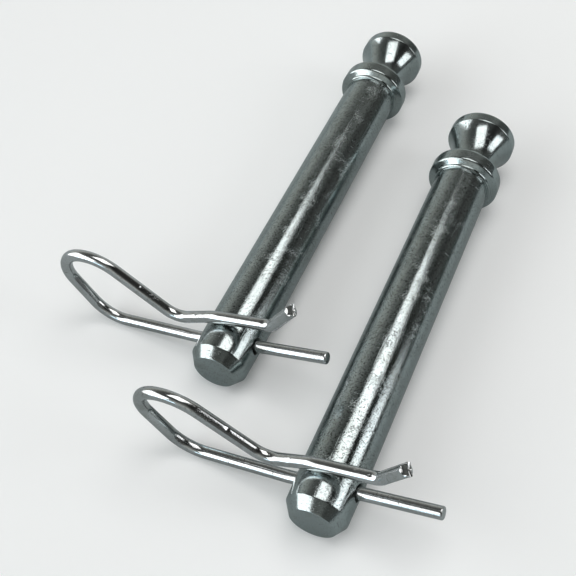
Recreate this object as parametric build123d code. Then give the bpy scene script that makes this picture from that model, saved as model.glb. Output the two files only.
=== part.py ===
"""A pair of grooved hitch pins, each locked by a spring wire R-clip, lying on a flat surface.

Millimetres, +Z up. The pins lie along +Y with their heads away from the origin side, and the
clips stand across their tips along X. Each pin is one turned piece and each clip one bent wire.
"""
from build123d import *
from math import asin, atan2, cos, degrees, hypot, pi, radians, sin, tan
import os

# ---- pin, turned from one bar -------------------------------------------------------------
shank_d = 15.875            # 5/8 inch bar
shank_length = 114.2        # tip face to the collar's front face
nose_drop = 0.24            # radius lost by the slight taper of the nose, at its lead-in edge
tip_chamfer = 3.0           # length of the lead-in cone
tip_drop = 2.0              # radius lost by the lead-in cone
root_ring_rise = 0.71       # low step ring at the root of the shank, over the shank's radius
root_ring_w = 0.6
collar_rise = 2.36          # collar over the shank's radius
collar_w = 5.8
collar_face = 0.75          # the front face leans back this far from ring to rim
collar_edge = 0.35          # bevel of the collar's front corner
collar_back_round = 1.4
neck_drop = 1.44            # neck under the shank's radius, at its narrowest
neck_run = 3.5              # from the collar's back to the narrowest place
neck_fall = 0.7             # radius lost over that run
knob_rise = 1.96            # knob over the shank's radius
knob_flare = 9.7            # length of the concave flare from the narrowest place to the rim
knob_rim_w = 3.6
knob_back_round = 0.9

# ---- cross hole and clip wire -------------------------------------------------------------
wire_d = 3.175              # 1/8 inch spring wire
hole_station = 10.2         # hole centre to the tip face
hole_room = 0.51            # radial room of the wire in its hole
hole_break = 0.35           # broken edge of the cross hole
grip_gap = 1.6              # from the wire to where the full shank starts
saddle_gap = 0.15           # clearance between the shank and the arm that rides over it
leg_past = 20.16            # straight leg beyond the shank
kink_gap = 2.56             # from the shank to where the straight leg leaves the hole line
leg_kink_deg = 6.0
loop_reach = 39.0           # hole centre to the bottom corner of the loop
loop_back_deg = 107.0       # slope of the loop's back
loop_height = 27.2          # hole line to the top of the loop
arm_slope_deg = 51.0        # slope of the arm that comes down from the loop
waist_drop = 2.5            # the arm's corner at the waist lies this far below the saddle
waist_gap = 6.26            # from the shank to that corner
saddle_lift = 0.15          # rise of the saddle's crown over the dip
crown_at = 1.5              # crown of the saddle, on the loop side of the pin axis
dip_gap = 7.46              # from the shank to the dip behind it
flare_deg = 42.0
flare_length = 11.4
bend_kink = 25.0            # centreline bend radii, in order along the wire
bend_loop_low = 9.5
bend_loop_back = 7.4
bend_loop_top = 12.0
bend_waist = 6.5
bend_crown = 16.0
bend_dip = 3.6

# ---- how the two sets lie -----------------------------------------------------------------
pair_gap = 3.52             # from the left clip's straight leg to the right shank
tip_gap = 17.2              # from the right clip's wire to the left pin's tip face, along the pins
clip_lean_deg = {"right": -2.6, "left": 0.0}    # each clip's turn about its straight leg
floor_gap = 0.02            # left under the loop's low bend

shank_r = shank_d / 2
nose_r = shank_r - nose_drop
collar_r = shank_r + collar_rise
wire_r = wire_d / 2
hole_r = wire_r + hole_room
collar_front = shank_length
collar_back = collar_front + collar_w
neck_end = collar_back + neck_run
rim_front = neck_end + knob_flare
pin_length = rim_front + knob_rim_w
grip_start = hole_station + wire_r + grip_gap
saddle_z = shank_r + wire_r + saddle_gap
free_leg = shank_r + leg_past

# The pin rests on its collar's rim and on the nose or the start of the full shank, whichever
# touches first, so its axis rises to the head.
rim_at = collar_front + collar_face + collar_edge
nose_slope = (collar_r - nose_r) / (rim_at - tip_chamfer)
grip_slope = (collar_r - shank_r) / (rim_at - grip_start)
rest_tilt = atan2(min(nose_slope, grip_slope), 1)
rest_height = collar_r * cos(rest_tilt) - rim_at * sin(rest_tilt)


def pin_profile():
    """Half outline of the turned pin in the XY plane, radius along X and length along Y."""
    knob_r = shank_r + knob_rise
    neck_r = shank_r - neck_drop
    ring_r = shank_r + root_ring_rise
    rise = knob_r - neck_r
    flare_r = (knob_flare ** 2 + rise ** 2) / (2 * rise)
    half = atan2(knob_flare, flare_r - rise) / 2
    flare_mid = (neck_r + flare_r * (1 - cos(half)), neck_end + flare_r * sin(half))
    fall_r = (neck_run ** 2 + neck_fall ** 2) / (2 * neck_fall)
    half = atan2(neck_run, fall_r - neck_fall) / 2
    fall_mid = (neck_r + fall_r * (1 - cos(half)), neck_end - fall_r * sin(half))
    back = collar_back_round
    back_mid = (collar_r - back * (1 - cos(pi / 4)), collar_back - back * (1 - sin(pi / 4)))
    end = knob_back_round
    end_mid = (knob_r - end * (1 - cos(pi / 4)), pin_length - end * (1 - sin(pi / 4)))
    front = [
        (0, 0),
        (nose_r - tip_drop, 0),
        (nose_r, tip_chamfer),
        (shank_r, grip_start),
        (shank_r, collar_front - root_ring_w),
        (ring_r - root_ring_w / 2, collar_front - root_ring_w),
        (ring_r, collar_front - root_ring_w / 2),
        (ring_r, collar_front),
        (collar_r - collar_edge, rim_at - collar_edge),
        (collar_r, rim_at),
        (collar_r, collar_back - back),
    ]
    edges = Polyline(*front).edges()
    edges += ThreePointArc((collar_r, collar_back - back), back_mid, (collar_r - back, collar_back)).edges()
    edges += Line((collar_r - back, collar_back), (neck_r + neck_fall, collar_back)).edges()
    edges += ThreePointArc((neck_r + neck_fall, collar_back), fall_mid, (neck_r, neck_end)).edges()
    edges += ThreePointArc((neck_r, neck_end), flare_mid, (knob_r, rim_front)).edges()
    edges += Line((knob_r, rim_front), (knob_r, pin_length - end)).edges()
    edges += ThreePointArc((knob_r, pin_length - end), end_mid, (knob_r - end, pin_length)).edges()
    edges += Polyline((knob_r - end, pin_length), (0, pin_length), (0, 0)).edges()
    return make_face(Wire(edges))


def clip_corners():
    """Corner points of the clip's centreline, x along the straight leg and z to the arm's side.

    Each entry is (x, z, bend radius); the two ends have no bend. Where two bends would run into
    each other, both are limited to the run between them.
    """
    kink = radians(leg_kink_deg)
    kink_x = shank_r + kink_gap
    loop_low_z = (loop_reach - kink_x) * tan(kink)
    back_run = (loop_height - loop_low_z) / tan(radians(180 - loop_back_deg))
    waist_x = shank_r + waist_gap
    waist_z = saddle_z - waist_drop
    arm_run = (loop_height - waist_z) / tan(radians(arm_slope_deg))
    dip_x = shank_r + dip_gap
    flare = radians(flare_deg)
    corners = [
        (free_leg, 0, 0),
        (-kink_x, 0, bend_kink),
        (-loop_reach, loop_low_z, bend_loop_low),
        (-loop_reach - back_run, loop_height, bend_loop_back),
        (-waist_x - arm_run, loop_height, bend_loop_top),
        (-waist_x, waist_z, bend_waist),
        (-crown_at, saddle_z + saddle_lift, bend_crown),
        (dip_x, saddle_z, bend_dip),
        (dip_x + flare_length * cos(flare), saddle_z + flare_length * sin(flare), 0),
    ]
    share = [1.0] * len(corners)
    for i in range(len(corners) - 1):
        run = hypot(corners[i + 1][0] - corners[i][0], corners[i + 1][1] - corners[i][1])
        used = 0
        for j in (i, i + 1):
            if corners[j][2]:
                used += setback(corners[j - 1], corners[j], corners[j + 1])
        for j in (i, i + 1):
            share[j] = min(share[j], 0.99 * run / used)
    return [(x, z, radius * part) for (x, z, radius), part in zip(corners, share)]


def setback(before, corner, after):
    """How far before and after its corner a bend starts and ends."""
    x, z, radius = corner
    ax, az = before[0] - x, before[1] - z
    bx, bz = after[0] - x, after[1] - z
    return radius / tan(atan2(abs(ax * bz - az * bx), ax * bx + az * bz) / 2)


def bend(before, corner, after):
    """Start, middle, end and centre of the arc that rounds a corner, in the XZ plane."""
    x, z, radius = corner
    ax, az = before[0] - x, before[1] - z
    bx, bz = after[0] - x, after[1] - z
    a_len, b_len = hypot(ax, az), hypot(bx, bz)
    ax, az, bx, bz = ax / a_len, az / a_len, bx / b_len, bz / b_len
    half = atan2(abs(ax * bz - az * bx), ax * bx + az * bz) / 2
    back = radius / tan(half)
    mx, mz = ax + bx, az + bz
    m_len = hypot(mx, mz)
    mx, mz = mx / m_len, mz / m_len
    reach = radius / sin(half)
    start = (x + ax * back, z + az * back)
    end = (x + bx * back, z + bz * back)
    centre = (x + mx * reach, z + mz * reach)
    middle = (centre[0] - mx * radius, centre[1] - mz * radius)
    return start, middle, end, centre


def clip_path():
    """The clip's centreline as one wire of lines and arcs, in the XZ plane."""
    corners = clip_corners()
    edges = []
    here = corners[0][:2]
    for i in range(1, len(corners) - 1):
        start, middle, end, _ = bend(corners[i - 1], corners[i], corners[i + 1])
        edges += Line((here[0], 0, here[1]), (start[0], 0, start[1])).edges()
        edges += ThreePointArc((start[0], 0, start[1]), (middle[0], 0, middle[1]), (end[0], 0, end[1])).edges()
        here = end
    last = corners[-1]
    edges += Line((here[0], 0, here[1]), (last[0], 0, last[1])).edges()
    return Wire(edges)


def clip_roll():
    """Turn of the cross hole about the pin axis that sets the low bend of the loop on the floor."""
    corners = clip_corners()
    _, _, _, centre = bend(corners[1], corners[2], corners[3])
    axis_height = rest_height + hole_station * sin(rest_tilt)
    reach = hypot(centre[0], centre[1])
    drop = (axis_height - floor_gap) / cos(rest_tilt) - corners[2][2] - wire_r
    return asin(drop / reach) + atan2(centre[1], -centre[0])


def make_pin(roll):
    """One pin with its tip face at the origin and its head along +Y."""
    body = revolve(pin_profile(), Axis.Y)
    place = Pos(0, hole_station, 0) * Rot(0, -degrees(roll), 0)
    overlap = hole_break / 2
    bevel_h = shank_r / 4
    for side in (1, -1):
        cone = Cone(hole_r - overlap, hole_r + bevel_h, bevel_h + overlap,
                    align=(Align.CENTER, Align.CENTER, Align.MIN))
        body -= place * Rot(0, 90 * side, 0) * Pos(0, 0, shank_r - hole_break - overlap) * cone
    body -= place * Rot(0, 90, 0) * Cylinder(hole_r, collar_r * 4)
    return body


def make_clip(roll, lean):
    """One clip, through the hole of a pin whose tip face is at the origin."""
    first = clip_corners()[0]
    section = Plane(origin=(first[0], 0, 0), z_dir=(-1, 0, 0)) * Circle(wire_r)
    wire = sweep(section, path=clip_path())
    return Pos(0, hole_station, 0) * Rot(0, -degrees(roll), 0) * Rot(-lean, 0, 0) * wire


def lay_down(piece, x, y):
    """Tilts a piece of one set so that the pin rests on the floor, and moves it to its place."""
    return Pos(x, y, rest_height) * Rot(degrees(rest_tilt), 0, 0) * piece


roll = clip_roll()
pair_pitch = free_leg * cos(roll) + wire_r * sin(roll) + pair_gap + shank_r
pair_stagger = hole_station + wire_r + tip_gap
sets = {"right": (0.0, 0.0), "left": (-pair_pitch, pair_stagger)}
pieces = {}
for side, (x, y) in sets.items():
    pieces[side + "_pin"] = lay_down(make_pin(roll), x, y)
    pieces[side + "_clip"] = lay_down(make_clip(roll, clip_lean_deg[side]), x, y)

# The origin is under the middle of the pair's bounding box.
box = Compound(list(pieces.values())).bounding_box()
shift = Pos(-(box.min.X + box.max.X) / 2, -(box.min.Y + box.max.Y) / 2, -box.min.Z)

os.makedirs("parts", exist_ok=True)
for name, piece in pieces.items():
    export_step(shift * piece, "parts/" + name + ".step")
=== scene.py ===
"""Looks for the pair of hitch pins with their R-clips: turned pins, bent wire clips, zinc plate.

Metres, in the row frame. Each pin is built along its own +Y with its tip face at the origin, and
each clip in its own XZ plane with its straight leg along +X. Sizes are those of the CAD part.
"""

import math
import random

import bmesh
import bpy
from mathutils import Matrix, Vector


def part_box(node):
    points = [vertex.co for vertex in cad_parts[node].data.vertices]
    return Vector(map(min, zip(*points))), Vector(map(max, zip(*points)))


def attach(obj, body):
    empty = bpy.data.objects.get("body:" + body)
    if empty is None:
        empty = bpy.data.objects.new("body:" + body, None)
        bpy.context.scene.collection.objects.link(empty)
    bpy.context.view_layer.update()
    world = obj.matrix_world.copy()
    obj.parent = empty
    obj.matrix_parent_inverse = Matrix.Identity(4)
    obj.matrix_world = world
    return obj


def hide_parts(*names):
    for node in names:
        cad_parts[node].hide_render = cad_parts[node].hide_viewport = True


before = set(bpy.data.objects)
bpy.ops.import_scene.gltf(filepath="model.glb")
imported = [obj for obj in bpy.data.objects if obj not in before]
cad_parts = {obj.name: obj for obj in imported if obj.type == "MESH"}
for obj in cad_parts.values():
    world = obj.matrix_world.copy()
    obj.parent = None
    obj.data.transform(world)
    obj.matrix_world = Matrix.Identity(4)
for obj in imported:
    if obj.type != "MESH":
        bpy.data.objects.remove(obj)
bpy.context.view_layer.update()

MM = 0.001

# ---- sizes of the pin, in millimetres ------------------------------------------------------
SHANK_R = 15.875 / 2
SHANK_LENGTH = 114.2
NOSE_R = SHANK_R - 0.24
TIP_CHAMFER = 3.0
TIP_FACE_R = NOSE_R - 2.0
ROOT_RING_R = SHANK_R + 0.71
ROOT_RING_W = 0.6
COLLAR_R = SHANK_R + 2.36
COLLAR_W = 5.8
COLLAR_FACE = 0.75          # the front face leans back this far from ring to rim
COLLAR_EDGE = 0.35
COLLAR_BACK_ROUND = 1.4
NECK_R = SHANK_R - 1.44     # at its narrowest
NECK_RUN = 3.5
NECK_FALL = 0.7
KNOB_R = SHANK_R + 1.96
KNOB_FLARE = 9.7
KNOB_RIM_W = 3.6
KNOB_BACK_ROUND = 0.9
COLLAR_BACK = SHANK_LENGTH + COLLAR_W
NECK_END = COLLAR_BACK + NECK_RUN
RIM_FRONT = NECK_END + KNOB_FLARE
PIN_LENGTH = RIM_FRONT + KNOB_RIM_W

# ---- sizes of the cross hole and the clip, in millimetres -----------------------------------
WIRE_R = 3.175 / 2
HOLE_STATION = 10.2
HOLE_R = WIRE_R + 0.51
HOLE_BREAK = 0.35
GRIP_START = HOLE_STATION + WIRE_R + 1.6
SADDLE_Z = SHANK_R + WIRE_R + 0.15
FREE_LEG = SHANK_R + 20.16
KINK_X = SHANK_R + 2.56
KINK_SLOPE = math.radians(6.0)
LOOP_REACH = 39.0
LOOP_BACK = math.radians(107.0)
LOOP_HEIGHT = 27.2
ARM_SLOPE = math.radians(51.0)
WAIST_X = SHANK_R + 6.26
WAIST_Z = SADDLE_Z - 2.5
CROWN_X = 1.5
SADDLE_LIFT = 0.15
DIP_X = SHANK_R + 7.46
FLARE = math.radians(42.0)
FLARE_LENGTH = 11.4
BEND_KINK = 25.0            # centreline bend radii, in order along the wire
BEND_LOOP_LOW = 9.5
BEND_LOOP_BACK = 7.4
BEND_LOOP_TOP = 12.0
BEND_WAIST = 6.5
BEND_CROWN = 16.0
BEND_DIP = 3.6
CLIP_LEAN = {"right": math.radians(-2.6), "left": 0.0}
FLOOR_GAP = 0.02

# ---- how a pin rests: on its collar's rim and on its nose or its full shank -------------------
RIM_AT = SHANK_LENGTH + COLLAR_FACE + COLLAR_EDGE
REST_SLOPE = min((COLLAR_R - NOSE_R) / (RIM_AT - TIP_CHAMFER),
                 (COLLAR_R - SHANK_R) / (RIM_AT - GRIP_START))
REST_TILT = math.atan(REST_SLOPE)
REST_HEIGHT = COLLAR_R * math.cos(REST_TILT) - RIM_AT * math.sin(REST_TILT)

# ---- how fine the meshes are: faces round, then millimetres and degrees per face along ---------
TURN_STEPS, TURN_RUN, TURN_ARC = 176, 0.6, 9
WIRE_STEPS, WIRE_RUN, WIRE_ARC = 40, 0.34, 2.4
PIN_SHARP = math.radians(34)        # edges that turn more than this stay sharp
WIRE_SHARP = math.radians(30)
MARK_REACH = 3              # a dent is cut off at this many times its own size
SEED = 41


# =============================================================================================
# Outlines
# =============================================================================================
def bend(before, corner, after, radius):
    """Start, end and centre of the arc that rounds a corner in a plane."""
    to_a = (Vector(before) - Vector(corner)).normalized()
    to_b = (Vector(after) - Vector(corner)).normalized()
    half = to_a.angle(to_b) / 2
    back = radius / math.tan(half)
    centre = Vector(corner) + (to_a + to_b).normalized() * (radius / math.sin(half))
    return Vector(corner) + to_a * back, Vector(corner) + to_b * back, centre


def run(a, b, step):
    """Points from a up to but not at b, about a step apart."""
    n = max(1, round((b - a).length / step))
    return [a.lerp(b, i / n) for i in range(n)]


def arc(start, end, centre, step_deg):
    """Points of an arc from start up to but not at end, the short way round."""
    a0 = math.atan2(start.y - centre.y, start.x - centre.x)
    a1 = math.atan2(end.y - centre.y, end.x - centre.x)
    turn = (a1 - a0 + math.pi) % (2 * math.pi) - math.pi
    radius = (start - centre).length
    n = max(2, round(abs(math.degrees(turn)) / step_deg))
    return [centre + radius * Vector((math.cos(a0 + turn * i / n), math.sin(a0 + turn * i / n)))
            for i in range(n)]


def outline(corners, step, step_deg):
    """A polyline through corners (x, y, radius), with each corner that has a radius rounded."""
    points = []
    here = Vector(corners[0][:2])
    for i in range(1, len(corners) - 1):
        x, y, radius = corners[i]
        if radius:
            start, end, centre = bend(corners[i - 1][:2], (x, y), corners[i + 1][:2], radius)
            points += run(here, start, step) + arc(start, end, centre, step_deg)
            here = end
        else:
            points += run(here, Vector((x, y)), step)
            here = Vector((x, y))
    last = Vector(corners[-1][:2])
    return points + run(here, last, step) + [last]


def cove(run_length, rise, away):
    """Points of the concave arc that rises from the narrowest place, as (length, radius gained)."""
    radius = (run_length ** 2 + rise ** 2) / (2 * rise)
    sweep = math.atan2(run_length, radius - rise)
    steps = 30
    points = []
    for i in range(1, steps):
        a = sweep * i / steps
        points.append((NECK_R + radius * (1 - math.cos(a)), NECK_END + away * radius * math.sin(a), 0))
    return points


def pin_outline():
    """(radius, length) of the turned outline from the tip's middle to the knob's middle."""
    corners = [
        (0.0, 0.0, 0),
        (TIP_FACE_R, 0.0, 0.35),
        (NOSE_R, TIP_CHAMFER, 0.4),
        (SHANK_R, GRIP_START, 0),
        (SHANK_R, SHANK_LENGTH - ROOT_RING_W, 0.15),
        (ROOT_RING_R - ROOT_RING_W / 2, SHANK_LENGTH - ROOT_RING_W, 0.06),
        (ROOT_RING_R, SHANK_LENGTH - ROOT_RING_W / 2, 0.3),
        (ROOT_RING_R, SHANK_LENGTH, 0.04),
        (COLLAR_R - COLLAR_EDGE, RIM_AT - COLLAR_EDGE, 0.28),
        (COLLAR_R, RIM_AT, 0.5),
        (COLLAR_R, COLLAR_BACK, COLLAR_BACK_ROUND),
        (NECK_R + NECK_FALL, COLLAR_BACK, 0.25),
        *reversed(cove(NECK_RUN, NECK_FALL, -1)),
        (NECK_R, NECK_END, 0),
        *cove(KNOB_FLARE, KNOB_R - NECK_R, 1),
        (KNOB_R, RIM_FRONT, 0.35),
        (KNOB_R, PIN_LENGTH, KNOB_BACK_ROUND),
        (0.0, PIN_LENGTH, 0),
    ]
    return outline(corners, TURN_RUN, TURN_ARC)


def clip_outline(step, step_deg):
    """The wire's centreline in its plane, from the straight leg's end to the flared arm's end."""
    low_z = (LOOP_REACH - KINK_X) * math.tan(KINK_SLOPE)
    back_run = (LOOP_HEIGHT - low_z) / math.tan(math.pi - LOOP_BACK)
    arm_run = (LOOP_HEIGHT - WAIST_Z) / math.tan(ARM_SLOPE)
    corners = [
        (FREE_LEG, 0.0, 0),
        (-KINK_X, 0.0, BEND_KINK),
        (-LOOP_REACH, low_z, BEND_LOOP_LOW),
        (-LOOP_REACH - back_run, LOOP_HEIGHT, BEND_LOOP_BACK),
        (-WAIST_X - arm_run, LOOP_HEIGHT, BEND_LOOP_TOP),
        (-WAIST_X, WAIST_Z, BEND_WAIST),
        (-CROWN_X, SADDLE_Z + SADDLE_LIFT, BEND_CROWN),
        (DIP_X, SADDLE_Z, BEND_DIP),
        (DIP_X + FLARE_LENGTH * math.cos(FLARE), SADDLE_Z + FLARE_LENGTH * math.sin(FLARE), 0),
    ]
    return corners, outline(corners, step, step_deg)


def clip_roll(corners):
    """Turn of the cross hole about the pin's axis that sets the loop's low bend on the floor."""
    _, _, centre = bend(corners[1][:2], corners[2][:2], corners[3][:2], corners[2][2])
    axis_height = REST_HEIGHT + HOLE_STATION * math.sin(REST_TILT)
    drop = (axis_height - FLOOR_GAP) / math.cos(REST_TILT) - corners[2][2] - WIRE_R
    return math.asin(drop / centre.length) + math.atan2(centre.y, -centre.x)


# =============================================================================================
# Materials
# =============================================================================================
STRAIGHT = "straight"       # a wire's points as they were before it was bent


class Nodes:
    """A node tree with short calls to add and link its nodes."""

    def __init__(self, tree):
        self.tree = tree

    def add(self, kind, inputs=None, **settings):
        node = self.tree.nodes.new("ShaderNode" + kind)
        for key, value in settings.items():
            setattr(node, key, value)
        for key, value in (inputs or {}).items():
            if isinstance(value, bpy.types.NodeSocket):
                self.tree.links.new(value, node.inputs[key])
            else:
                node.inputs[key].default_value = value
        return node

    def scaled(self, point, scale):
        """A point socket with each axis scaled."""
        return self.add("Mapping", {"Vector": point, "Scale": scale}).outputs["Vector"]

    def noise(self, point, scale, detail=4.0, roughness=0.55, distortion=0.0):
        node = self.add("TexNoise", {"Vector": point, "Scale": scale, "Detail": detail,
                                     "Roughness": roughness, "Distortion": distortion})
        return node.outputs["Fac"]

    def fit(self, value, low, high, to_low=0.0, to_high=1.0, smooth=False):
        node = self.add("MapRange", {"Value": value, "From Min": low, "From Max": high,
                                     "To Min": to_low, "To Max": to_high})
        if smooth:
            node.interpolation_type = "SMOOTHSTEP"
        return node.outputs["Result"]

    def math(self, operation, a, b=0.0):
        return self.add("Math", {0: a, 1: b}, operation=operation).outputs[0]

    def blend(self, factor, a, b):
        node = self.add("Mix", {"Factor": factor}, data_type="RGBA")
        for index, value in ((6, a), (7, b)):
            if isinstance(value, bpy.types.NodeSocket):
                self.tree.links.new(value, node.inputs[index])
            else:
                node.inputs[index].default_value = (*value, 1.0)
        return node.outputs[2]

    def bump(self, height, distance, strength=1.0, normal=None):
        inputs = {"Height": height, "Distance": distance, "Strength": strength}
        if normal:
            inputs["Normal"] = normal
        return self.add("Bump", inputs).outputs["Normal"]


def zinc(name, light, dark, stain, rough, grain, speck, pits, specks, laid=None, turned=0.0,
         seed=0.0):
    """Clear zinc plate: cloudy colour, pits, scratches along Y and turning marks.

    grain, speck and pits are bump depths in metres: lengthwise scratches, crystals of the plate,
    and pits. laid is how the piece was moved from its own axes; without it the piece carries its
    own coordinates in the attribute STRAIGHT. specks is how dark the gaps between crystals are.
    """
    material = bpy.data.materials.new(name)
    material.use_nodes = True
    tree = material.node_tree
    tree.nodes.clear()
    n = Nodes(tree)
    if laid:
        back = laid.inverted()
        turn, shift = back.to_euler(), back.translation
        place = n.add("TexCoord").outputs["Object"]
    else:
        turn, shift = (0.0, 0.0, 0.0), Vector()
        place = n.add("Attribute", attribute_name=STRAIGHT).outputs["Vector"]
    shift = shift + Vector((seed, seed * 1.7, -seed))
    place = n.add("Mapping", {"Vector": place, "Location": shift, "Rotation": turn}).outputs[0]

    # scratches run along the piece, drawn out thirty to one
    drawn = n.scaled(place, (1.0, 0.035, 1.0))
    fine_lines = n.noise(drawn, 3200.0, 3.0, 0.6)
    broad_lines = n.noise(drawn, 900.0, 3.0, 0.6)
    scuff = n.fit(n.noise(drawn, 1500.0, 2.0, 0.5, 0.4), 0.64, 0.72)
    nicks = n.fit(n.noise(n.scaled(place, (1.0, 6.0, 1.0)), 260.0, 2.0, 0.5), 0.70, 0.74)

    # pits of the plated surface, in clusters
    grit = n.noise(place, 2300.0, 3.0, 0.7)
    cluster = n.fit(n.noise(place, 130.0, 3.0, 0.6), 0.47, 0.66, smooth=True)
    pit = n.math("MULTIPLY", n.fit(grit, 0.52, 0.66), cluster)
    cloud = n.noise(place, 75.0, 4.0, 0.6, 0.3)

    colour = n.blend(n.fit(cloud, 0.35, 0.68, smooth=True), light, dark)
    colour = n.blend(n.fit(n.noise(place, 210.0, 3.0, 0.6), 0.55, 0.78, 0.0, 0.5), colour, stain)
    crystals = n.noise(place, 2500.0, 3.0, 0.7)
    colour = n.blend(n.fit(crystals, 0.47, 0.37, 0.0, specks), colour, tuple(c * 0.3 for c in stain))
    dim = n.math("MULTIPLY", pit, 0.55)
    colour = n.blend(n.math("MAXIMUM", dim, n.math("MULTIPLY", nicks, 0.6)), colour,
                     tuple(c * 0.32 for c in stain))

    roughness = n.fit(cloud, 0.3, 0.75, rough * 0.9, rough * 1.15)
    roughness = n.math("ADD", roughness, n.math("MULTIPLY", broad_lines, rough * 0.35))
    roughness = n.math("ADD", roughness, n.math("MULTIPLY", pit, 0.22))
    roughness = n.math("ADD", roughness, n.math("MULTIPLY", scuff, 0.10))

    height = n.math("ADD", n.math("MULTIPLY", fine_lines, 0.5), n.math("MULTIPLY", broad_lines, 0.5))
    height = n.math("SUBTRACT", height, n.math("MULTIPLY", scuff, 0.5))
    normal = n.bump(height, grain)
    normal = n.bump(crystals, speck, 1.0, normal)
    normal = n.bump(n.math("SUBTRACT", 0.0, n.math("ADD", pit, nicks)), pits, 0.8, normal)
    if turned:
        rings = n.noise(n.scaled(place, (0.02, 1.0, 0.02)), 5200.0, 2.0, 0.5)
        normal = n.bump(rings, turned, 1.0, normal)
        roughness = n.math("ADD", roughness, n.math("MULTIPLY", rings, 0.05))

    shader = n.add("BsdfPrincipled", {"Metallic": 1.0, "Base Color": colour,
                                      "Roughness": roughness, "Normal": normal})
    output = n.add("OutputMaterial")
    tree.links.new(shader.outputs[0], output.inputs[0])
    return material


SHANK_LIGHT = (0.46, 0.51, 0.515)
SHANK_DARK = (0.42, 0.465, 0.46)
SHANK_STAIN = (0.31, 0.32, 0.30)
CLIP_LIGHT = (0.68, 0.69, 0.70)
CLIP_DARK = (0.54, 0.55, 0.55)
CLIP_STAIN = (0.38, 0.36, 0.33)


# =============================================================================================
# Meshes
# =============================================================================================
def make_object(name, verts, faces, materials, face_material=None):
    """A smooth-shaded object from vertices in millimetres."""
    mesh = bpy.data.meshes.new(name)
    mesh.from_pydata([tuple(c * MM for c in v) for v in verts], [], faces)
    for material in materials:
        mesh.materials.append(material)
    if face_material:
        mesh.polygons.foreach_set("material_index", face_material)
    mesh.polygons.foreach_set("use_smooth", [True] * len(mesh.polygons))
    mesh.update()
    obj = bpy.data.objects.new(name, mesh)
    bpy.context.scene.collection.objects.link(obj)
    return obj


def lathe(points, steps, pinch):
    """Vertices and faces of an outline (radius, length) turned about +Y; both ends on the axis.

    pinch(radius, length, angle) gives the radius that is really used there.
    """
    verts = [(0.0, points[0].y, 0.0)]
    rings = points[1:-1]
    for p in rings:
        for j in range(steps):
            a = 2 * math.pi * j / steps
            r = pinch(p.x, p.y, a)
            verts.append((r * math.sin(a), p.y, r * math.cos(a)))
    verts.append((0.0, points[-1].y, 0.0))
    last = len(verts) - 1
    faces, lengths = [], []
    for j in range(steps):
        k = (j + 1) % steps
        faces.append((0, 1 + k, 1 + j))
        lengths.append(points[0].y)
    for i in range(len(rings) - 1):
        a0 = 1 + i * steps
        b0 = a0 + steps
        for j in range(steps):
            k = (j + 1) % steps
            faces.append((a0 + j, a0 + k, b0 + k, b0 + j))
            lengths.append((rings[i].y + rings[i + 1].y) / 2)
    base = 1 + (len(rings) - 1) * steps
    for j in range(steps):
        k = (j + 1) % steps
        faces.append((base + j, base + k, last))
        lengths.append(points[-1].y)
    return verts, faces, lengths


def dent_list(rng, count, low, high, depth, size):
    """Shallow dents on the shank: (length, angle, depth, reach along, reach round)."""
    dents = []
    for _ in range(count):
        dents.append((rng.uniform(low, high), rng.uniform(0, 2 * math.pi),
                      rng.uniform(*depth), rng.uniform(*size), rng.uniform(*size)))
    return dents


def pin_surface(rng):
    """The shank's real radius: slightly wavy, with a few handling dents and dings."""
    dents = dent_list(rng, 12, GRIP_START + 2, SHANK_LENGTH - 3, (0.006, 0.02), (0.4, 1.0))
    # a cluster of knocks part-way up, on the side that lies upward
    for _ in range(6):
        dents.append((rng.uniform(52, 72), rng.uniform(-0.2, 0.9), rng.uniform(0.02, 0.035),
                      rng.uniform(0.35, 0.7), rng.uniform(0.35, 0.6)))
    phase = rng.uniform(0, 6)

    def pinch(radius, length, angle):
        if length < TIP_CHAMFER + 0.5 or length > SHANK_LENGTH - 1.2:
            return radius
        wave = 0.0015 * math.sin(length * 0.21 + phase) * math.sin(2 * angle + phase)
        wave += 0.001 * math.sin(length * 0.47 + 3 * angle)
        cut = 0.008 - wave
        for at, turn, depth, along, around in dents:
            dy = (length - at) / along
            if abs(dy) > MARK_REACH:
                continue
            da = (angle - turn + math.pi) % (2 * math.pi) - math.pi
            dx = da * radius / around
            if abs(dx) < MARK_REACH:
                cut += depth * math.exp(-(dx * dx + dy * dy))
        return radius - cut

    return pinch


def hole_cutter(roll):
    """A closed cutter for the cross hole, widened where it leaves the shank."""
    edge = SHANK_R - HOLE_BREAK
    half = [(0.0, HOLE_R), (edge - 0.25, HOLE_R), (edge, HOLE_R + 0.06), (edge + 0.25, HOLE_R + 0.26),
            (edge + 1.6, HOLE_R + 1.6)]
    profile = [(-x, r) for x, r in reversed(half[1:])] + half
    steps = 56
    verts = [(profile[0][0], 0.0, 0.0)]
    for x, r in profile:
        for j in range(steps):
            a = 2 * math.pi * (j + 0.37) / steps
            verts.append((x, r * math.cos(a), r * math.sin(a)))
    verts.append((profile[-1][0], 0.0, 0.0))
    faces = [(0, 1 + (j + 1) % steps, 1 + j) for j in range(steps)]
    for i in range(len(profile) - 1):
        a0, b0 = 1 + i * steps, 1 + (i + 1) * steps
        faces += [(a0 + j, a0 + (j + 1) % steps, b0 + (j + 1) % steps, b0 + j) for j in range(steps)]
    base, last = 1 + (len(profile) - 1) * steps, len(verts) - 1
    faces += [(base + j, base + (j + 1) % steps, last) for j in range(steps)]
    turn = Matrix.Rotation(-roll, 3, "Y")
    move = Vector((0.0, HOLE_STATION, 0.0))
    verts = [tuple(turn @ Vector(v) + move) for v in verts]
    return verts, faces


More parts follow.
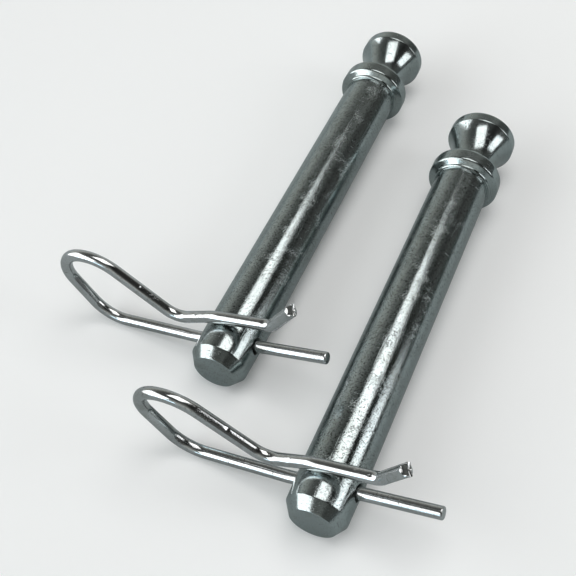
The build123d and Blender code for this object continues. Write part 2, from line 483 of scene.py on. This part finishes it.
def make_pin(name, roll, rng, materials):
    """A turned pin along +Y with its cross hole; materials are shank, nose and head, and bore."""
    points = pin_outline()
    verts, faces, lengths = lathe(points, TURN_STEPS, pin_surface(rng))
    # the nose and everything from the root ring back are smoother than the shank
    smooth_to, smooth_from = HOLE_STATION - 2.0, SHANK_LENGTH - ROOT_RING_W - 0.1
    zones = [1 if y < smooth_to or y > smooth_from else 0 for y in lengths]
    pin = make_object(name, verts, faces, materials, zones)
    cut_verts, cut_faces = hole_cutter(roll)
    cutter = make_object(name + "_cutter", cut_verts, cut_faces, materials, [2] * len(cut_faces))
    for obj in (pin, cutter):
        fix_normals(obj)
    cut = pin.modifiers.new("hole", "BOOLEAN")
    cut.operation = "DIFFERENCE"
    cut.solver = "EXACT"
    cut.object = cutter
    bpy.context.view_layer.update()
    mesh = bpy.data.meshes.new_from_object(pin.evaluated_get(bpy.context.evaluated_depsgraph_get()))
    pin.modifiers.clear()
    pin.data = mesh
    bpy.data.objects.remove(cutter)
    mesh.polygons.foreach_set("use_smooth", [True] * len(mesh.polygons))
    mesh.set_sharp_from_angle(angle=PIN_SHARP)
    return pin


def fix_normals(obj):
    """Turns every face outward."""
    work = bmesh.new()
    work.from_mesh(obj.data)
    bmesh.ops.recalc_face_normals(work, faces=work.faces)
    work.to_mesh(obj.data)
    work.free()


def bake(obj, matrix):
    """Moves the mesh itself, so that the object's box is as tight as the piece."""
    obj.data.transform(matrix)
    obj.data.update()


def make_clip(name, rng, material):
    """A bent wire in its own XZ plane, with its straightened coordinates as an attribute."""
    _, centre = clip_outline(WIRE_RUN, WIRE_ARC)
    count = len(centre)
    lengths = [0.0]
    for i in range(1, count):
        lengths.append(lengths[-1] + (centre[i] - centre[i - 1]).length)
    total = lengths[-1]
    tangents = []
    for i in range(count):
        a = centre[max(0, i - 1)]
        b = centre[min(count - 1, i + 1)]
        tangents.append((b - a).normalized())

    # marks of the bending tool: (distance from the flared end, angle round the wire, depth, reach)
    marks = [(13.1, 1.75, 0.14, 0.42), (17.2, 1.35, 0.10, 0.40), (33.5, 1.9, 0.13, 0.45),
             (52.5, 1.7, 0.11, 0.45)]
    for _ in range(12):
        marks.append((rng.uniform(4, total - 4), rng.uniform(0, 2 * math.pi),
                      rng.uniform(0.01, 0.035), rng.uniform(0.3, 0.8)))

    verts = []
    for i in range(count):
        t = tangents[i]
        normal = Vector((-t.y, t.x))
        from_end = total - lengths[i]
        for j in range(WIRE_STEPS):
            a = 2 * math.pi * j / WIRE_STEPS
            r = WIRE_R - 0.004
            for at, turn, depth, reach in marks:
                dy = (from_end - at) / reach
                if abs(dy) > MARK_REACH:
                    continue
                da = (a - turn + math.pi) % (2 * math.pi) - math.pi
                dx = da * WIRE_R / reach
                r -= depth * math.exp(-(dx * dx + dy * dy))
            u, v = r * math.cos(a), r * math.sin(a)
            p = centre[i] + normal * v
            verts.append([p.x, u, p.y])

    # the straight leg's end is cut clean with a small broken edge
    verts, caps = end_rings(verts, -tangents[0])
    faces = []
    rings = len(verts) // WIRE_STEPS
    for i in range(rings - 1):
        a0, b0 = i * WIRE_STEPS, (i + 1) * WIRE_STEPS
        for j in range(WIRE_STEPS):
            k = (j + 1) % WIRE_STEPS
            faces.append((a0 + j, b0 + j, b0 + k, a0 + k))
    faces += caps(verts, rings)
    obj = make_object(name, verts, faces, [material])
    fix_normals(obj)
    obj.data.set_sharp_from_angle(angle=WIRE_SHARP)
    straight = obj.data.attributes.new(STRAIGHT, "FLOAT_VECTOR", "POINT")
    values = []
    for index in range(len(verts)):
        ring, j = divmod(index, WIRE_STEPS)
        a = 2 * math.pi * j / WIRE_STEPS
        at = lengths[min(ring, count - 1)]
        values += [WIRE_R * math.cos(a) * MM, at * MM, WIRE_R * math.sin(a) * MM]
    straight.data.foreach_set("vector", values)
    return obj


def end_rings(verts, out):
    """Adds the broken edge of the leg's end and the sheared tip of the flared end.

    out points out of the leg's end. Also gives a call that closes both ends.
    """
    ring = [Vector(v) for v in verts[:WIRE_STEPS]]
    middle = sum(ring, Vector()) / WIRE_STEPS
    out3 = Vector((out.x, 0.0, out.y))
    lead = []
    for shrink, back in ((0.83, 0.0), (0.90, 0.03), (0.955, 0.11), (0.99, 0.24)):
        lead.append([middle + (p - middle) * shrink - out3 * back for p in ring])
    body = [Vector(v) for v in verts]
    # drop the rings that the broken edge replaces
    body = body[WIRE_STEPS:]
    made = [p for r in lead for p in r] + body

    # sheared tip: two pinched facets that meet off centre, with a torn ridge between them
    tip = made[-WIRE_STEPS:]
    centre = sum(tip, Vector()) / WIRE_STEPS
    before = made[-4 * WIRE_STEPS:-3 * WIRE_STEPS]
    ahead = (centre - sum(before, Vector()) / WIRE_STEPS).normalized()
    side = Vector((0.0, 1.0, 0.0))
    across = side.cross(ahead).normalized()
    trimmed = made[:-5 * WIRE_STEPS]
    start = made[-5 * WIRE_STEPS:-4 * WIRE_STEPS]
    mid = sum(start, Vector()) / WIRE_STEPS
    length = (centre - mid).dot(ahead)
    pinch_dir = (across * 0.82 + side * 0.57).normalized()
    ridge_dir = ahead.cross(pinch_dir).normalized()
    shaped = []
    # how far along the tip, how far it is pinched, how far it spreads
    for share, squeeze, swell in ((0.0, 1.0, 1.0), (0.16, 0.97, 1.0), (0.24, 0.80, 1.01),
                                  (0.55, 0.56, 1.03), (0.80, 0.38, 1.02), (0.93, 0.27, 0.97)):
        ring = []
        for j, p in enumerate(start):
            off = p - mid
            u, v = off.dot(pinch_dir), off.dot(ridge_dir)
            limit = WIRE_R * squeeze
            u = max(-limit * 0.9, min(limit, u)) + 0.10 * share
            v *= swell
            ragged = 0.05 * share * math.sin(j * 2.9) + 0.04 * share * math.sin(j * 1.3 + 1)
            ring.append(mid + pinch_dir * u + ridge_dir * v + ahead * (length * share + ragged))
        shaped.append(ring)
    made = trimmed + [p for r in shaped for p in r]

    def caps(all_verts, rings):
        base = (rings - 1) * WIRE_STEPS
        first_middle = len(all_verts)
        a = sum((Vector(v) for v in all_verts[:WIRE_STEPS]), Vector()) / WIRE_STEPS
        b = sum((Vector(v) for v in all_verts[base:base + WIRE_STEPS]), Vector()) / WIRE_STEPS
        all_verts.append(tuple(a))
        # the torn face is hollow
        all_verts.append(tuple(b - ahead * 0.28))
        closed = []
        for j in range(WIRE_STEPS):
            k = (j + 1) % WIRE_STEPS
            closed.append((first_middle, j, k))
            closed.append((first_middle + 1, base + k, base + j))
        return closed

    return [tuple(v) for v in made], caps


# =============================================================================================
# The pieces
# =============================================================================================
clip_corners, _ = clip_outline(2.0, 10)
ROLL = clip_roll(clip_corners)

for index, side in enumerate(("right", "left")):
    rng = random.Random(SEED + index)
    low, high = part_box(side + "_pin")
    # the tip face's lower edge is the pin's lowest Y, and the axis is the middle of its X
    tip = Vector(((low.x + high.x) / 2,
                  low.y + TIP_FACE_R * math.sin(REST_TILT) * MM,
                  low.z + REST_HEIGHT * MM))
    laid = Matrix.Translation(tip) @ Matrix.Rotation(REST_TILT, 4, "X")
    seed = 0.37 * index
    materials = [
        zinc(side + "_shank_zinc", SHANK_LIGHT, SHANK_DARK, SHANK_STAIN, 0.08, 0.000018,
             0.000022, 0.00003, 0.9, laid, seed=seed),
        zinc(side + "_head_zinc", SHANK_LIGHT, SHANK_DARK, SHANK_STAIN, 0.10, 0.0000015,
             0.000006, 0.00001, 0.4, laid, turned=0.000002, seed=seed + 0.1),
        zinc(side + "_bore_zinc", SHANK_DARK, SHANK_STAIN, SHANK_STAIN, 0.34, 0.00001,
             0.00001, 0.00003, 0.4, laid, seed=seed + 0.2),
    ]
    pin = make_pin(side + "_pin_body", ROLL, rng, materials)
    bake(pin, laid)
    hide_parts(side + "_pin")
    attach(pin, side + "_pin")

    wire_zinc = zinc(side + "_wire_zinc", CLIP_LIGHT, CLIP_DARK, CLIP_STAIN, 0.09, 0.000003,
                     0.000006, 0.00001, 0.3, seed=seed + 0.3)
    clip = make_clip(side + "_clip_wire", rng, wire_zinc)
    bake(clip, laid @ Matrix.Translation((0.0, HOLE_STATION * MM, 0.0))
         @ Matrix.Rotation(-ROLL, 4, "Y") @ Matrix.Rotation(-CLIP_LEAN[side], 4, "X"))
    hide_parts(side + "_clip")
    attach(clip, side + "_clip")
    if side == "right":
        right_tip = Vector((tip.x, tip.y, low.z))

# =============================================================================================
# Floor, light and camera
# =============================================================================================
FLOOR_TONE = (0.93, 0.935, 0.935)
# painted reflection tone: the darker grey that the metal mirrors in place of the lit paper
PAINTED_FLOOR_REFLECTION = (0.40, 0.435, 0.435)

floor_mesh = bpy.data.meshes.new("floor")
floor_mesh.from_pydata([(-3, -3, 0), (3, -3, 0), (3, 3, 0), (-3, 3, 0)], [], [(0, 1, 2, 3)])
floor = bpy.data.objects.new("floor", floor_mesh)
floor.location.z = -0.05 * MM       # just under the pieces
bpy.context.scene.collection.objects.link(floor)
paper = bpy.data.materials.new("paper")
paper.use_nodes = True
paper.node_tree.nodes.clear()
f = Nodes(paper.node_tree)
# painted reflection: the paper is given a darker grey only for glossy rays, so it looks greyer in the
# metal than it does by itself
tone = f.blend(f.add("LightPath").outputs["Is Glossy Ray"], FLOOR_TONE, PAINTED_FLOOR_REFLECTION)
matt = f.add("BsdfDiffuse", {"Color": tone, "Roughness": 0.5})
paper.node_tree.links.new(matt.outputs[0], f.add("OutputMaterial").inputs[0])
floor_mesh.materials.append(paper)


def aim(obj, place, target):
    obj.location = place
    obj.rotation_mode = "QUATERNION"
    obj.rotation_quaternion = (target - place).to_track_quat("-Z", "Y")


def direction(azimuth, elevation):
    """Unit vector; azimuth 0 is +Y and 90 is -X, in degrees."""
    a, e = math.radians(azimuth), math.radians(elevation)
    return Vector((-math.sin(a) * math.cos(e), math.cos(a) * math.cos(e), math.sin(e)))


def panel(name, azimuth, elevation, distance, width, height, radiance, colour, glossy=True):
    """A rectangular light of even radiance, seen from the pins at that direction."""
    light = bpy.data.lights.new(name, "AREA")
    light.shape = "RECTANGLE"
    light.size = width
    light.size_y = height
    light.energy = radiance * math.pi * width * height
    light.color = colour
    obj = bpy.data.objects.new(name, light)
    middle = Vector((0.0, 0.0, 0.01))
    aim(obj, middle + direction(azimuth, elevation) * distance, middle)
    obj.visible_glossy = glossy
    bpy.context.scene.collection.objects.link(obj)
    return obj


# a box overhead from half-way up behind the pins to past the zenith, one low at the right, one in
# front at the left with a low bluish strip beside it, and a soft fill that the metal does not mirror
panel("overhead_box", -20, 79, 0.93, 0.56, 0.94, 2.3, (1.0, 0.995, 0.985))
panel("side_box", -79, 25, 0.9, 0.56, 0.40, 2.3, (0.97, 0.985, 1.0))
panel("front_box", 127, 24, 1.0, 1.20, 0.72, 2.3, (0.97, 0.99, 1.0))
panel("front_strip", 155, 7, 1.0, 0.62, 0.22, 2.0, (0.62, 0.86, 1.0))
panel("fill", -150, 50, 1.2, 1.2, 1.2, 0.7, (1.0, 1.0, 1.0), glossy=False)

world = bpy.data.worlds.new("studio")
bpy.context.scene.world = world
world.use_nodes = True
world.node_tree.nodes.clear()
w = Nodes(world.node_tree)
split = w.add("SeparateXYZ", {0: w.add("TexCoord").outputs["Generated"]})
height_ramp = w.add("ValToRGB", {"Fac": w.fit(split.outputs["Z"], -0.1, 1.0)})
ramp = height_ramp.color_ramp
ramp.elements[0].position = 0.0
ramp.elements[0].color = (0.40, 0.46, 0.47, 1)
ramp.elements[1].position = 1.0
ramp.elements[1].color = (0.05, 0.055, 0.055, 1)
for position, level in ((0.38, 0.46), (0.52, 0.36), (0.66, 0.20), (0.80, 0.10)):
    element = ramp.elements.new(position)
    element.color = (level * 0.99, level * 1.02, level * 0.96, 1)
# the studio is darker on the right
strength = w.fit(split.outputs["X"], 0.25, 0.55, 1.0, 0.2, smooth=True)
background = w.add("Background", {"Color": height_ramp.outputs["Color"], "Strength": strength})
world.node_tree.links.new(background.outputs[0], w.add("OutputWorld").inputs[0])

# The camera stands in front of the tips and above them, turned to the right pin's left.
CAMERA_FROM_TIP = (40.21, -87.85, 206.08)
CAMERA_AZIMUTH = 0.4536
CAMERA_ELEVATION = 0.8729
CAMERA_ROLL = -0.0566
FOCAL_SHARE = 948.63 / 576          # focal length over the frame's width

camera_data = bpy.data.cameras.new("camera")
camera = bpy.data.objects.new("camera", camera_data)
bpy.context.scene.collection.objects.link(camera)
bpy.context.scene.camera = camera
camera_data.sensor_width = 36.0
camera_data.lens = 36.0 * FOCAL_SHARE
camera_data.clip_start = 0.01
ahead = direction(math.degrees(CAMERA_AZIMUTH), -math.degrees(CAMERA_ELEVATION))
level = Vector((math.cos(CAMERA_AZIMUTH), math.sin(CAMERA_AZIMUTH), 0.0))
upward = level.cross(ahead)
right = level * math.cos(CAMERA_ROLL) + upward * math.sin(CAMERA_ROLL)
top = upward * math.cos(CAMERA_ROLL) - level * math.sin(CAMERA_ROLL)
turn = Matrix((right, top, -ahead)).transposed().to_4x4()
camera.matrix_world = Matrix.Translation(right_tip + Vector(CAMERA_FROM_TIP) * MM) @ turn

bpy.context.scene.view_settings.view_transform = "Standard"
